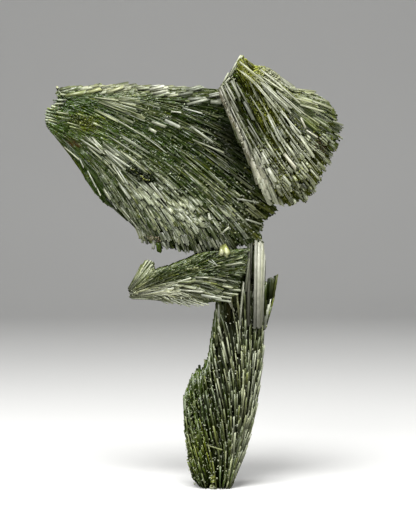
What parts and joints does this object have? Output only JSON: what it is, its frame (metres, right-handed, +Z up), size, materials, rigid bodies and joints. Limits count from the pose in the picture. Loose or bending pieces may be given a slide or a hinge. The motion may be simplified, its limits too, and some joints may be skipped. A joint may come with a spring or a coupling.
{
  "type": "epidote crystal cluster",
  "caption": "Upright cluster of green prismatic epidote crystals: a stem of upright blades carries a broad fan and an upper fan, with a spray at its shoulder and a splinter at its side.",
  "frame": {"origin": "centre of the stem's flat foot, where the cluster rests on the ground", "axes": "+Z up along the cluster's height, +X to the right as the viewer sees it, -Y towards the viewer"},
  "size_m": [0.0824, 0.0339, 0.1197],
  "materials": {
    "broad_fan": "glassy",
    "upper_fan": "glassy",
    "side_spray": "glassy",
    "stem_sheaf": "glassy",
    "stem_splinter": "glassy"
  },
  "bodies": {
    "root": {"broad_fan": "broad_fan", "upper_fan": "upper_fan", "side_spray": "side_spray", "stem_sheaf": "stem_sheaf", "stem_splinter": "stem_splinter"}
  },
  "joints": []
}
